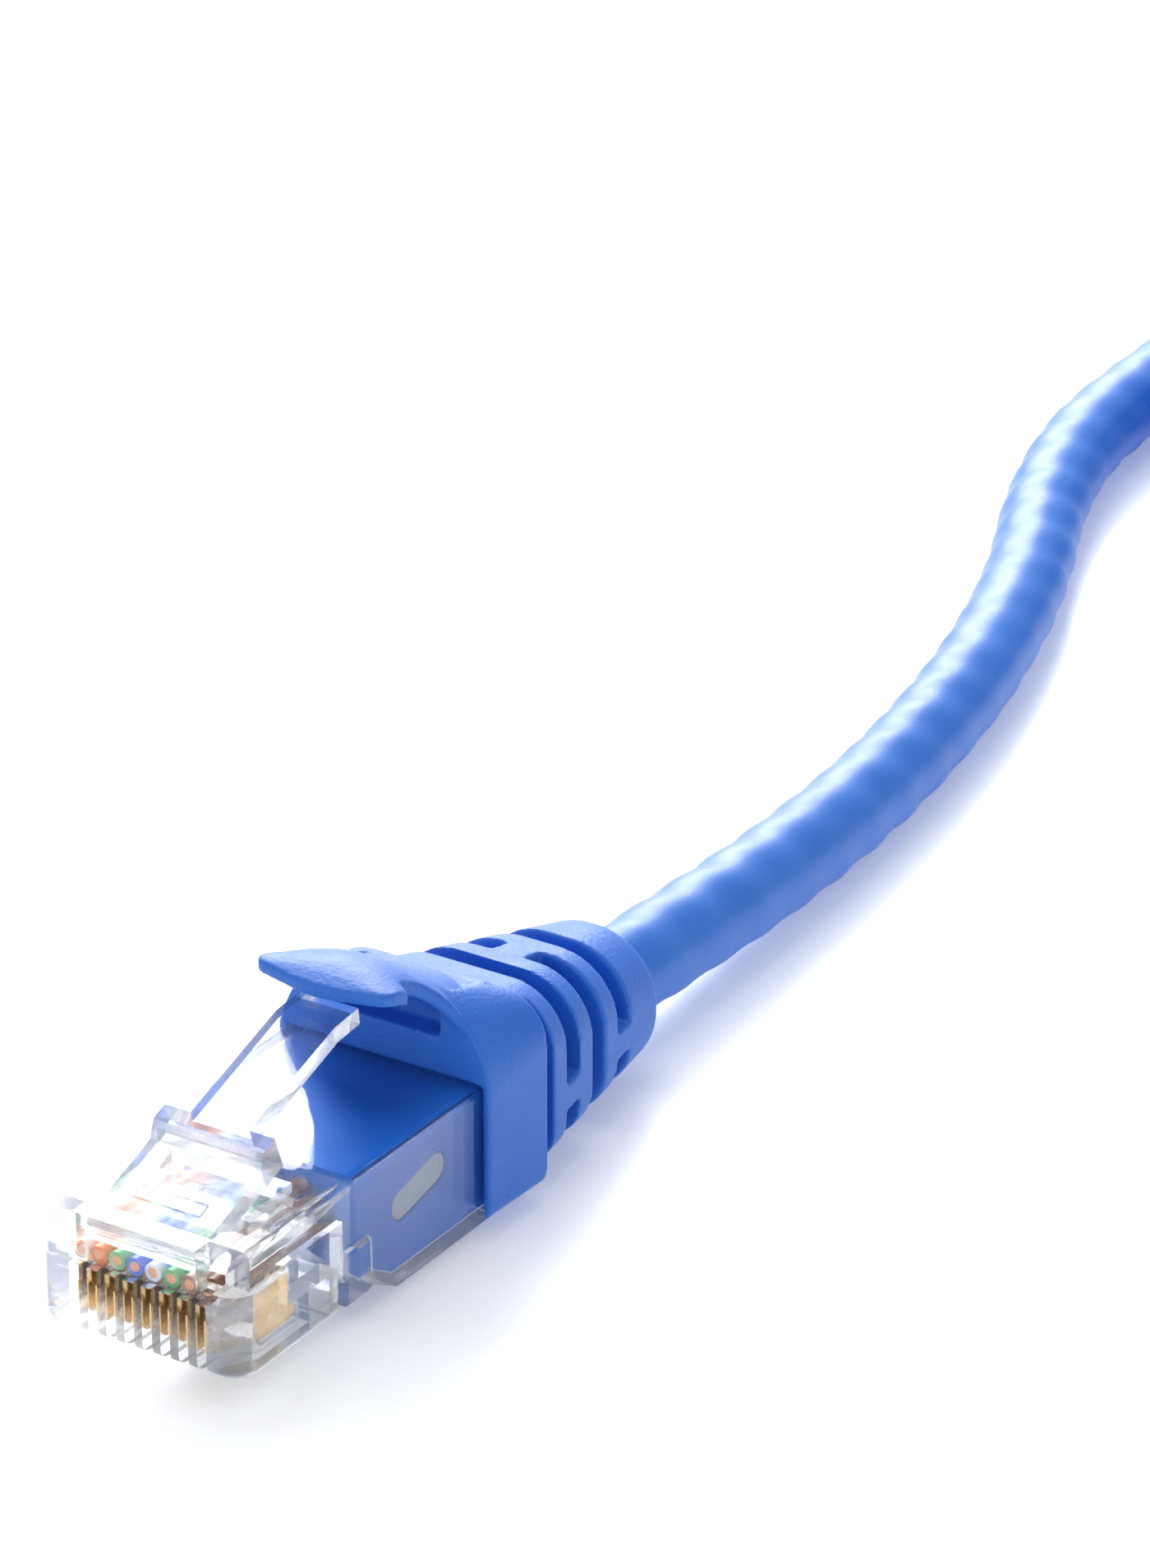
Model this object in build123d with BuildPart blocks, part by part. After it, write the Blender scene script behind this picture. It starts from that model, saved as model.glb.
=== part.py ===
"""Ethernet patch cable: two moulded 8P8C plugs with snagless boots on one metre of blue cord.

Millimetres, +Z up. The near plug points to -Y and the cord leaves it towards +Y. The origin is
the bottom centre of the near plug with its boot. Each end is drawn in a plug frame (X across the
contacts, Y from the mating face to the cord, Z from the nose's underside to the latch) and then
placed, so both ends are the same pieces.
"""

import math
import os

from build123d import *

# ---------------------------------------------------------------- driving dimensions
# Plug, after the 8P8C connector standard
CONTACTS = 8
PITCH = 1.016
NOSE_WIDTH = 11.68
NOSE_DEPTH = 7.6
NOSE_BOTTOM = -0.2
NOSE_HEIGHT = 4.2
LEDGE_START = 3.6
LEDGE_HEIGHT = 2.35
LEDGE_INSET = 4.8
BODY_WIDTH = 11.1
BODY_TOP = 6.15
BODY_BOTTOM = -1.12
PLUG_LENGTH = 21.0
SHOULDER_START = 8.45
SHOULDER_END = 10.4
HALL_START = 9.9
WALL = 0.6

# Contact blades and the slots they sit in
SLOT_WIDTH = 0.54
SLOT_DEPTH = 6.6
SLOT_HEIGHT = 3.4
BLADE_THICKNESS = 0.36

# Conductors: insulated wires in a flat row, then two rows of four inside the jacket
WIRE_DIAMETER = 0.92
COPPER_DIAMETER = 0.52
WIRE_HEIGHT = 3.9
WIRE_FRONT = 0.95
JACKET_AXIS = 2.3
JACKET_START = 13.4
PAIR_SPACING = 1.04

# Latch, hinged at the top of the nose
LATCH_PIVOT = (1.3, 5.5)
LATCH_SLOPE = 19.5
LATCH_WIDTH = 6.2
LATCH_TAB_WIDTH = 3.3
LATCH_PLATE_END = 6.2
LATCH_STEP = 0.8
LATCH_BEND = 13.4
LATCH_LENGTH = 15.2
LATCH_THICKNESS = 1.0

# Boot with its snagless cover
COLLAR_START = 20.0
COLLAR_END = 24.8
COLLAR_WIDTH = 12.5
COLLAR_FRONT_TOP = 11.2
COLLAR_REAR_TOP = 8.95
BOOT_END = 39.0
BOOT_END_RADIUS = 3.75
BOOT_END_AXIS = 1.75
RING_PITCH = 3.0
GROOVE_WIDTH = 1.45
CORE_RADIUS = 3.15
COVER_PIVOT = (22.6, 8.6)
COVER_KNUCKLE = 1.15
COVER_WIDTH = 6.2
COVER_HEAD_WIDTH = 7.7
COVER_FRONT = 14.3

# Cord
CORD_DIAMETER = 5.0
CORD_RADIUS = CORD_DIAMETER / 2
TIE_THICKNESS = 0.6
TIE_WIDTH = 9.0

# Room between a hinged piece and the piece that carries it
HINGE_GAP = 0.15

# Lowest line of the boot in the plug frame, which stands on the table
TABLE = BOOT_END_AXIS - BOOT_END_RADIUS
NEAR_PLACE = Location((0, -BOOT_END / 2, -TABLE))
FAR_PLACE = Location((42, 31, -TABLE))

pin_x = [(i - (CONTACTS - 1) / 2) * PITCH for i in range(CONTACTS)]

os.makedirs("parts", exist_ok=True)


def across(y):
    """The XZ plane at a distance y behind the mating face: local x is X and local y is Z."""
    return Plane.XZ.offset(-y)


def write(part, name):
    part.label = name
    export_step(part, f"parts/{name}.step")


# ---------------------------------------------------------------- housing
def shell_outline():
    """Outside of the clear plug body: stepped nose, shoulder and deeper rear body."""
    half_nose = NOSE_WIDTH / 2
    half_body = BODY_WIDTH / 2
    with BuildPart() as shell:
        with BuildSketch(Plane.XY.offset(NOSE_BOTTOM)):
            with Locations((0, NOSE_DEPTH / 2)):
                Rectangle(NOSE_WIDTH, NOSE_DEPTH)
            fillet(vertices().group_by(Axis.Y)[0], 1.35)
        extrude(amount=NOSE_HEIGHT - NOSE_BOTTOM)
        bottom_front = edges().group_by(Axis.Z)[0].group_by(Axis.Y)[0]
        fillet(bottom_front, 0.6)
        # Upper nose, set back from the mating face and between the ledges
        with BuildSketch(Plane.YZ.offset(-half_body)):
            with BuildLine():
                Polyline(
                    (1.1, 0.8),
                    (NOSE_DEPTH, 0.8),
                    (NOSE_DEPTH, -0.1),
                    (10.9, -0.1),
                    (12.8, BODY_BOTTOM),
                    (PLUG_LENGTH, BODY_BOTTOM),
                    (PLUG_LENGTH, BODY_TOP),
                    (1.1, BODY_TOP),
                    close=True,
                )
            make_face()
        extrude(amount=BODY_WIDTH)
        top_sides = edges().filter_by(Axis.Y).group_by(Axis.Z)[-1]
        fillet(top_sides, 0.35)
        # Shoulder behind the nose, as wide as the nose
        with BuildSketch(across(SHOULDER_START)):
            with Locations((0, 1.35)):
                RectangleRounded(NOSE_WIDTH, 2.9, 0.25)
        extrude(amount=-(SHOULDER_END - SHOULDER_START))
        # Undercut in each flank above the ledge, and the slit that parts nose and shoulder
        flank_depth = NOSE_WIDTH / 2 - LEDGE_INSET + 1
        for side in (-1, 1):
            with Locations((side * (LEDGE_INSET + flank_depth / 2), 0, 0)):
                with Locations((0, (LEDGE_START + SHOULDER_START) / 2, LEDGE_HEIGHT + 1.0)):
                    Box(flank_depth, SHOULDER_START - LEDGE_START, 2.0, mode=Mode.SUBTRACT)
                with Locations((0, (NOSE_DEPTH + SHOULDER_START) / 2, LEDGE_HEIGHT / 2)):
                    Box(flank_depth, SHOULDER_START - NOSE_DEPTH, 4.0, mode=Mode.SUBTRACT)
        # Root block of the latch, flush with the mating face
        with BuildSketch(Plane.XY.offset(NOSE_HEIGHT - 0.3)):
            with Locations((0, 0.9)):
                Rectangle(LATCH_WIDTH + 0.5, 1.8)
        extrude(amount=BODY_TOP - NOSE_HEIGHT + 0.3)
    return shell.part


def wire_channel():
    """Room for the row of wires, and the hall behind it that the mould fills."""
    throat = 7.0
    floor = 0.5
    hall_width = BODY_WIDTH - 2 * WALL
    with BuildPart() as room:
        with BuildSketch(across(0.9)):
            with Locations((0, 4.0)):
                Rectangle(8.4, 1.3)
        extrude(amount=-(throat - 0.9))
        with BuildSketch(across(throat)):
            with Locations((0, 4.0)):
                Rectangle(8.4, 1.3)
        with BuildSketch(across(HALL_START)):
            with Locations((0, (BODY_TOP - WALL + floor) / 2)):
                Rectangle(hall_width, BODY_TOP - WALL - floor)
        loft()
        with BuildSketch(Plane.YZ.offset(-hall_width / 2)):
            with BuildLine():
                Polyline(
                    (HALL_START, floor),
                    (10.9, floor),
                    (12.8, BODY_BOTTOM + WALL),
                    (PLUG_LENGTH + 1, BODY_BOTTOM + WALL),
                    (PLUG_LENGTH + 1, BODY_TOP - WALL),
                    (HALL_START, BODY_TOP - WALL),
                    close=True,
                )
            make_face()
        extrude(amount=hall_width)
    return room.part


def make_housing():
    pivot_y, pivot_z = LATCH_PIVOT
    with BuildPart() as housing:
        add(shell_outline())
        add(wire_channel(), mode=Mode.SUBTRACT)
        # Eight contact slots, open to the front and underneath
        with Locations([(x, SLOT_DEPTH / 2 - 1, SLOT_HEIGHT / 2 - 1) for x in pin_x]):
            Box(SLOT_WIDTH, SLOT_DEPTH + 2, SLOT_HEIGHT + 2, mode=Mode.SUBTRACT)
        # Recess that the latch folds into, and the groove of its hinge
        with Locations((0, (pivot_y + NOSE_DEPTH) / 2, 5.0)):
            Box(
                LATCH_WIDTH + 0.5,
                NOSE_DEPTH - pivot_y,
                4.0,
                align=(Align.CENTER, Align.CENTER, Align.MIN),
                mode=Mode.SUBTRACT,
            )
        with Locations((0, pivot_y, pivot_z)):
            Cylinder(
                LATCH_THICKNESS / 2 + HINGE_GAP,
                LATCH_WIDTH + 0.5,
                rotation=(0, 90, 0),
                mode=Mode.SUBTRACT,
            )
        # Window in the floor for the strain bar
        with Locations((0, 16.6, BODY_BOTTOM)):
            Box(5.6, 4.2, 2.5, mode=Mode.SUBTRACT)
    return housing.part


# ---------------------------------------------------------------- small pieces inside the plug
def make_contact(x):
    """One gold-plated blade: two tines pierce the wire, the lower edge meets the socket."""
    with BuildPart() as blade:
        with BuildSketch(Plane.YZ.offset(x - BLADE_THICKNESS / 2)):
            with BuildLine():
                Polyline(
                    (0.5, 0.6),
                    (5.6, 0.6),
                    (5.6, 3.2),
                    (4.3, 3.2),
                    (4.0, 3.6),
                    (3.7, 3.2),
                    (2.1, 3.2),
                    (1.8, 3.6),
                    (1.5, 3.2),
                    (0.75, 3.2),
                    (0.75, 2.3),
                    (0.5, 2.3),
                    close=True,
                )
            make_face()
            fillet(vertices().group_by(Axis.Y)[0].sort_by(Axis.Z)[0], 0.55)
        extrude(amount=BLADE_THICKNESS)
    return blade.part


def wire_points(i):
    """Route of wire i: flat row, then upper or lower row of its pair's column."""
    column = (i // 2 - 1.5) * PAIR_SPACING
    outer = i in (0, CONTACTS - 1)
    lower = outer or i in (2, 5)
    side = -1 if lower else 1
    merge_x = 0.55 * pin_x[i] + 0.45 * column
    merge_z = (WIRE_HEIGHT + JACKET_AXIS) / 2 + side * 0.56
    return [
        (pin_x[i], WIRE_FRONT, WIRE_HEIGHT),
        (pin_x[i], 6.9, WIRE_HEIGHT),
        (merge_x, 9.7, merge_z),
        (column, 12.2, JACKET_AXIS + side * PAIR_SPACING / 2),
        (column, JACKET_START, JACKET_AXIS + side * PAIR_SPACING / 2),
    ]


def make_rod(i, diameter):
    points = wire_points(i)
    with BuildPart() as rod:
        with BuildLine() as route:
            FilletPolyline(*points, radius=1.2)
        with BuildSketch(across(WIRE_FRONT)):
            with Locations((pin_x[i], WIRE_HEIGHT)):
                Circle(diameter / 2)
        sweep(path=route.wires()[0])
    return rod.part


def make_wire(i, contact):
    """Insulation of one wire, with its bore and the cuts made by the blade's tines."""
    with BuildPart() as wire:
        add(make_rod(i, WIRE_DIAMETER))
        add(make_rod(i, COPPER_DIAMETER), mode=Mode.SUBTRACT)
        add(contact, mode=Mode.SUBTRACT)
    return wire.part


def make_conductors():
    with BuildPart() as copper:
        for i in range(CONTACTS):
            add(make_rod(i, COPPER_DIAMETER))
    return copper.part


def make_load_bar():
    """Clear comb that holds the row of wires down on the blades."""
    with BuildPart() as comb:
        with Locations((0, 5.8, WIRE_HEIGHT + 0.02)):
            Box(8.3, 1.9, 0.7, align=(Align.CENTER, Align.CENTER, Align.MIN))
        with Locations([(x, 5.8, WIRE_HEIGHT) for x in pin_x]):
            Cylinder(WIRE_DIAMETER / 2 + 0.03, 3, rotation=(90, 0, 0), mode=Mode.SUBTRACT)
    return comb.part


def make_strain_bar():
    """Wedge pushed up through the floor of the plug to grip the jacket."""
    with BuildPart() as wedge:
        with BuildSketch(Plane.YZ.offset(-2.7)):
            with BuildLine():
                Polyline(
                    (14.7, BODY_BOTTOM + 0.6),
                    (16.0, BODY_BOTTOM + 0.15),
                    (18.5, BODY_BOTTOM + 0.15),
                    (18.5, BODY_BOTTOM + 0.75),
                    (16.6, BODY_BOTTOM + 0.79),
                    close=True,
                )
            make_face()
        extrude(amount=5.4)
    return wedge.part


def axis_height(y):
    """Height of the jacket's axis: level inside the plug, then down to the end of the boot."""
    drop = (JACKET_AXIS - BOOT_END_AXIS) / (BOOT_END - PLUG_LENGTH)
    return JACKET_AXIS - drop * max(0, y - PLUG_LENGTH)


def make_jacket_end():
    """Length of jacket inside the mould and the boot, up to where the free cord begins."""
    with BuildPart() as jacket:
        with BuildLine() as route:
            FilletPolyline(
                (0, JACKET_START, JACKET_AXIS),
                (0, PLUG_LENGTH, JACKET_AXIS),
                (0, BOOT_END, BOOT_END_AXIS),
                radius=60,
            )
        with BuildSketch(across(JACKET_START)):
            with Locations((0, JACKET_AXIS)):
                Circle(CORD_RADIUS)
        sweep(path=route.wires()[0])
    return jacket.part


def make_inner_mould(wires, jacket):
    """Blue fill that locks jacket and wires into the back of the plug."""
    clearance = 0.05
    width = BODY_WIDTH - 2 * WALL - 2 * clearance
    top = BODY_TOP - WALL - clearance
    bottom = BODY_BOTTOM + WALL + clearance
    with BuildPart() as mould:
        with BuildSketch(Plane.YZ.offset(-width / 2)):
            with BuildLine():
                Polyline(
                    (10.0, 0.6),
                    (11.0, 0.6),
                    (12.85, bottom),
                    (PLUG_LENGTH, bottom),
                    (PLUG_LENGTH, top),
                    (10.0, top),
                    close=True,
                )
            make_face()
        extrude(amount=width)
        fillet(edges().filter_by(Axis.Y).group_by(Axis.Z)[-1], 0.3)
        with Locations((0, 16.6, BODY_BOTTOM)):
            Box(5.8, 4.4, 2.7, mode=Mode.SUBTRACT)
        # Oval hollow left in each flank
        for side in (-1, 1):
            flank = Plane(
                origin=(side * width / 2, 15.2, 3.0),
                x_dir=(0, 1, 0.21),
                z_dir=(side, 0, 0),
            )
            with BuildSketch(flank):
                SlotOverall(4.6, 1.7)
            extrude(amount=-0.3, mode=Mode.SUBTRACT)
        for wire in wires:
            add(wire, mode=Mode.SUBTRACT)
        add(jacket, mode=Mode.SUBTRACT)
    return mould.part


# ---------------------------------------------------------------- latch
def make_latch():
    pivot_y, pivot_z = LATCH_PIVOT
    slope = math.radians(LATCH_SLOPE)
    half = LATCH_THICKNESS / 2
    arm = Plane(
        origin=(0, pivot_y, pivot_z),
        x_dir=(0, math.cos(slope), math.sin(slope)),
        z_dir=(1, 0, 0),
    )
    with BuildPart() as latch:
        # Plate with its rolled front end
        with BuildSketch(arm):
            Circle(half)
            with Locations((LATCH_PLATE_END / 2, 0)):
                Rectangle(LATCH_PLATE_END, LATCH_THICKNESS)
        extrude(amount=LATCH_WIDTH / 2, both=True)
        # Locking shoulders, a step up from the plate
        with BuildSketch(arm):
            with BuildLine():
                Polyline(
                    (LATCH_PLATE_END - 1.7, half - 0.2),
                    (LATCH_PLATE_END - 1.0, half + LATCH_STEP),
                    (LATCH_PLATE_END, half + LATCH_STEP),
                    (LATCH_PLATE_END, half - 0.2),
                    close=True,
                )
            make_face()
        extrude(amount=LATCH_WIDTH / 2, both=True)
        # Finger tab, carried on from the top of the shoulders and bent level at its tip
        with BuildSketch(arm):
            with BuildLine():
                Polyline(
                    (LATCH_PLATE_END - 0.8, LATCH_STEP - half),
                    (LATCH_BEND, LATCH_STEP - half - 0.1),
                    (LATCH_LENGTH, LATCH_STEP - half - 0.55),
                    (LATCH_LENGTH + 0.2, LATCH_STEP + half - 0.7),
                    (LATCH_BEND + 0.1, LATCH_STEP + half - 0.2),
                    (LATCH_PLATE_END - 0.8, LATCH_STEP + half),
                    close=True,
                )
            make_face()
        extrude(amount=LATCH_TAB_WIDTH / 2, both=True)
        # Shallow ledge across the root
        with BuildSketch(arm.offset(-1.9)):
            with Locations((1.7, half)):
                Rectangle(0.8, 0.4)
        extrude(amount=3.8, mode=Mode.SUBTRACT)
    return latch.part


# ---------------------------------------------------------------- boot and cover
def rounded_section(y, width, low, high, top_radius, low_radius):
    """Upright section of the boot, with its own radii above and below."""
    with BuildSketch(across(y)) as section:
        with Locations((0, (low + high) / 2)):
            Rectangle(width, high - low)
        fillet(vertices().group_by(Axis.Y)[-1], top_radius)
        fillet(vertices().group_by(Axis.Y)[0], low_radius)
    return section.sketch


def make_collar():
    """Square front of the boot, with the pocket for the plug and the seat of the cover."""
    pivot_y, pivot_z = COVER_PIVOT
    with BuildPart() as collar:
        front_width = COLLAR_WIDTH - 0.4
        add(rounded_section(COLLAR_START, front_width, BODY_BOTTOM, COLLAR_FRONT_TOP, 5.6, 0.9))
        add(rounded_section(COLLAR_END, COLLAR_WIDTH, BODY_BOTTOM, COLLAR_REAR_TOP, 2.4, 0.9))
        loft()
        # Pocket that the back of the plug is seated in
        with BuildSketch(across(COLLAR_START - 0.5)):
            with Locations((0, (BODY_TOP + BODY_BOTTOM) / 2)):
                Rectangle(BODY_WIDTH + 0.1, BODY_TOP - BODY_BOTTOM + 0.1)
        extrude(amount=-(PLUG_LENGTH - COLLAR_START + 0.5), mode=Mode.SUBTRACT)
        # Seat of the cover's root, and the notch that its arm sinks into
        seat_width = COVER_WIDTH + 2 * HINGE_GAP
        with Locations((0, pivot_y, pivot_z)):
            Cylinder(
                COVER_KNUCKLE + HINGE_GAP, seat_width, rotation=(0, 90, 0), mode=Mode.SUBTRACT
            )
        with Locations((0, pivot_y + 0.4, pivot_z - 0.4)):
            Box(
                seat_width,
                4.4,
                6,
                align=(Align.CENTER, Align.MAX, Align.MIN),
                mode=Mode.SUBTRACT,
            )
    return collar.part


def make_tail():
    """Strain relief: a taper to the cord, cut by four staggered grooves into a ladder of rings."""
    round_corner = BOOT_END_RADIUS - 0.05
    low = BOOT_END_AXIS - BOOT_END_RADIUS
    high = BOOT_END_AXIS + BOOT_END_RADIUS
    with BuildPart() as tail:
        add(rounded_section(COLLAR_END - 0.8, 12.0, BODY_BOTTOM + 0.3, 8.6, 3.0, 1.6))
        add(rounded_section(BOOT_END, 2 * BOOT_END_RADIUS, low, high, round_corner, round_corner))
        loft()
        fillet(faces().sort_by(Axis.Y)[-1].edges(), 1.0)
        for k in range(4):
            y = COLLAR_END + RING_PITCH * k + GROOVE_WIDTH / 2
            add(groove(y, k), mode=Mode.SUBTRACT)
    return tail.part


def groove(y, k):
    """Cutter for groove k: open at the flanks when k is even, above and below when it is odd."""
    bridge = (8.0, 1.9)[k // 2]
    with BuildPart() as cutter:
        with Locations((0, y, axis_height(y))):
            Box(16, GROOVE_WIDTH, 16)
            Cylinder(CORE_RADIUS, GROOVE_WIDTH + 1, rotation=(90, 0, 0), mode=Mode.SUBTRACT)
            if k % 2 == 0:
                Box(bridge, GROOVE_WIDTH, 16, mode=Mode.SUBTRACT)
            else:
                Box(16, GROOVE_WIDTH, 1.4, mode=Mode.SUBTRACT)
    return cutter.part


def make_boot(jacket):
    with BuildPart() as boot:
        add(make_collar())
        add(make_tail())
        add(jacket, mode=Mode.SUBTRACT)
        # Pocket for the plug, cut again where the tail crossed it
        with BuildSketch(across(COLLAR_START - 0.5)):
            with Locations((0, (BODY_TOP + BODY_BOTTOM) / 2)):
                Rectangle(BODY_WIDTH + 0.1, BODY_TOP - BODY_BOTTOM + 0.1)
        extrude(amount=-(PLUG_LENGTH - COLLAR_START + 0.5), mode=Mode.SUBTRACT)
    return boot.part


def cover_section(y, crown, drop, thickness, edge_thickness):
    """Domed section of the cover, lower and thinner along its sides."""
    half = COVER_HEAD_WIDTH / 2 + 0.1
    edge = crown - drop
    with BuildSketch(across(y)) as section:
        with BuildLine():
            ThreePointArc((-half, edge), (0, crown), (half, edge))
            Line((half, edge), (half, edge - edge_thickness))
            ThreePointArc(
                (half, edge - edge_thickness),
                (0, crown - thickness),
                (-half, edge - edge_thickness),
            )
            Line((-half, edge - edge_thickness), (-half, edge))
        make_face()
    return section.sketch


def make_cover():
    """Snagless cover: an arm that rises from the collar to a wide head over the latch tab."""
    pivot_y, pivot_z = COVER_PIVOT
    with BuildPart() as cover:
        add(cover_section(COVER_FRONT - 0.3, 12.7, 0.15, 0.95, 0.9))
        add(cover_section(16.2, 12.95, 0.4, 1.15, 0.85))
        add(cover_section(18.3, 12.5, 1.15, 1.3, 0.65))
        add(cover_section(20.4, 11.25, 1.3, 1.3, 0.55))
        add(cover_section(pivot_y, pivot_z + COVER_KNUCKLE - 0.02, 0.9, 1.1, 0.7))
        loft()
        # Plan of the cover: wide head with round corners, narrower neck
        with BuildSketch(Plane.XY) as plan:
            half = COVER_HEAD_WIDTH / 2
            with BuildLine():
                ThreePointArc(
                    (-half + 0.9, COVER_FRONT + 0.45),
                    (0, COVER_FRONT),
                    (half - 0.9, COVER_FRONT + 0.45),
                )
                Polyline(
                    (half - 0.9, COVER_FRONT + 0.45),
                    (half, COVER_FRONT + 1.3),
                    (half, COVER_FRONT + 2.5),
                    (-half, COVER_FRONT + 2.5),
                    (-half, COVER_FRONT + 1.3),
                    (-half + 0.9, COVER_FRONT + 0.45),
                )
            make_face()
            fillet(plan.vertices().filter_by(lambda v: abs(v.X) > 3 and v.Y > 16), 0.45)
            fillet(plan.vertices().filter_by(lambda v: abs(v.X) > 3 and v.Y < 16), 0.7)
            with Locations((0, COVER_FRONT + 1)):
                Rectangle(COVER_WIDTH, 10, align=(Align.CENTER, Align.MIN))
        extrude(amount=20, mode=Mode.INTERSECT)
        with Locations((0, pivot_y, pivot_z)):
            Cylinder(COVER_KNUCKLE, COVER_WIDTH, rotation=(0, 90, 0))
    return cover.part


# ---------------------------------------------------------------- both ends
def make_end():
    """All the pieces of one end, by name."""
    pieces = {"housing": make_housing(), "latch": make_latch()}
    for i in range(CONTACTS):
        pieces[f"contact_{i + 1}"] = make_contact(pin_x[i])
        pieces[f"wire_{i + 1}"] = make_wire(i, pieces[f"contact_{i + 1}"])
    wires = [make_rod(i, WIRE_DIAMETER) for i in range(CONTACTS)]
    pieces["conductors"] = make_conductors()
    pieces["load_bar"] = make_load_bar()
    pieces["strain_bar"] = make_strain_bar()
    pieces["jacket_end"] = make_jacket_end()
    pieces["inner_mould"] = make_inner_mould(wires, pieces["jacket_end"])
    pieces["boot"] = make_boot(pieces["jacket_end"])
    pieces["latch_cover"] = make_cover()
    return pieces


# ---------------------------------------------------------------- cord
# Route of the free cord from the near boot to the coil: chosen points, in the object's frame
LEAD_ROUTE = [
    (0.0, 19.5, 3.75),
    (0.0, 27.0, 3.52),
    (-0.3, 36.0, 2.95),
    (-1.0, 46.0, 2.55),
    (-2.3, 56.0, 2.5),
    (-4.6, 67.0, 2.5),
    (-8.2, 78.5, 2.5),
    (-12.6, 88.0, 2.5),
    (-15.6, 98.0, 2.5),
    (-16.2, 107.5, 2.5),
    (-16.4, 115.8, 2.5),
    (-16.2, 123.5, 2.5),
]

# Route from the coil to the far boot: down over the outer turn to the table
TAIL_ROUTE = [
    (43.2, 114.0, 7.4),
    (42.9, 104.5, 6.6),
    (42.4, 95.0, 4.6),
    (42.1, 86.0, 3.6),
    (42.0, 78.0, 3.5),
    (42.0, 70.0, 3.75),
]

COIL_CENTRE = (14.8, 123.5)
TURN_RADII = (21.0, 26.0, 31.0)
COIL_HEIGHT = 10.0


def corner_radii(points):
    """Radius of the arc at each corner: 0.45 of the shorter run over the tangent of half the turn."""
    radii = []
    for before, here, after in zip(points, points[1:], points[2:]):
        run_in = Vector(*here) - Vector(*before)
        run_out = Vector(*after) - Vector(*here)
        half_turn = math.radians(run_in.get_angle(run_out)) / 2
        radii.append(0.45 * min(run_in.length, run_out.length) / math.tan(half_turn))
    return radii


def make_tube(points, name, end_place):
    """Plain round cord along a route, cut flush where it leaves its boot."""
    radii = corner_radii(points)
    with BuildPart() as tube:
        with BuildLine() as route:
            FilletPolyline(*points, radius=radii)
        start = Plane(origin=points[0], z_dir=Vector(*points[1]) - Vector(*points[0]))
        with BuildSketch(start):
            Circle(CORD_RADIUS)
        sweep(path=route.wires()[0])
        for name_at_end in ("boot", "jacket_end"):
            add(end_pieces[name_at_end].moved(end_place), mode=Mode.SUBTRACT)
    length = route.wires()[0].length
    expected = math.pi * CORD_RADIUS**2 * length
    print(name, "length", round(length, 1), "smallest radius", round(min(radii), 1))
    print(name, "radii", [round(radius) for radius in radii])
    print(name, "volume", round(tube.part.volume), "section times length", round(expected))
    return tube.part.solids().sort_by(SortBy.VOLUME)[-1]


def make_tie():
    """Soft strap round one side of the coil."""
    centre_x, centre_y = COIL_CENTRE
    inner = TURN_RADII[0] - CORD_RADIUS
    outer = TURN_RADII[-1] + CORD_RADIUS
    width = outer - inner
    middle = centre_y + (inner + outer) / 2
    with BuildPart() as tie:
        with BuildSketch(Plane.YZ.offset(centre_x - TIE_WIDTH / 2)):
            with Locations((middle, COIL_HEIGHT / 2 + TIE_THICKNESS)):
                RectangleRounded(
                    width + 2 * TIE_THICKNESS, COIL_HEIGHT + 2 * TIE_THICKNESS, 2.6
                )
                RectangleRounded(width, COIL_HEIGHT, 2.0, mode=Mode.SUBTRACT)
        extrude(amount=TIE_WIDTH)
    return tie.part


def make_coil():
    """Outer shape of the wound cord."""
    width = TURN_RADII[-1] - TURN_RADII[0] + CORD_DIAMETER
    middle = (TURN_RADII[0] + TURN_RADII[-1]) / 2
    with BuildPart() as coil:
        with BuildSketch(Plane.XZ):
            with Locations((middle, COIL_HEIGHT / 2)):
                RectangleRounded(width, COIL_HEIGHT, CORD_RADIUS - 0.1)
        revolve(axis=Axis.Z)
    return coil.part.moved(Location((*COIL_CENTRE, 0)))


# ---------------------------------------------------------------- assembly
end_pieces = make_end()
for name, piece in end_pieces.items():
    write(piece.moved(NEAR_PLACE), f"near_{name}")
    write(piece.moved(FAR_PLACE), f"far_{name}")

write(make_tube(LEAD_ROUTE, "cord_lead", NEAR_PLACE), "cord_lead")
write(make_tube(TAIL_ROUTE, "cord_tail", FAR_PLACE), "cord_tail")
write(make_tie(), "coil_tie")
write(make_coil(), "cord_coil")
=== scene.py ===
import math

import bmesh
import bpy
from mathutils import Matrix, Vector


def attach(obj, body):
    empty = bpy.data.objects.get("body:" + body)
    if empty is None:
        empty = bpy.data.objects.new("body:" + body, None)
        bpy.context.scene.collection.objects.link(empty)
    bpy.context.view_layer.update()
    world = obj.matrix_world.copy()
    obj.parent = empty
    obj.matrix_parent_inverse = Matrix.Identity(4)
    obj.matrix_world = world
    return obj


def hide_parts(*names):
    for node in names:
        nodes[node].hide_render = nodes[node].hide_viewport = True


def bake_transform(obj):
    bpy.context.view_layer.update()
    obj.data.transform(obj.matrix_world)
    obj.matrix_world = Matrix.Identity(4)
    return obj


MM = 0.001

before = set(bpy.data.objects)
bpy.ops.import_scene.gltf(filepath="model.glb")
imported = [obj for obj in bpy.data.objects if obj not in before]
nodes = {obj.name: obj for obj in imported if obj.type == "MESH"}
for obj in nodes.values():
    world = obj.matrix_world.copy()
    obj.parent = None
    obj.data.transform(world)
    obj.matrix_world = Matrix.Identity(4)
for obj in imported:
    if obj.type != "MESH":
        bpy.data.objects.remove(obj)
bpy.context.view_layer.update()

# Where each end stands: the centre of its mating face, on the table
ENDS = {
    "near": Vector((0, -19.5, 0)) * MM,
    "far": Vector((42, 31, 0)) * MM,
}
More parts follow.
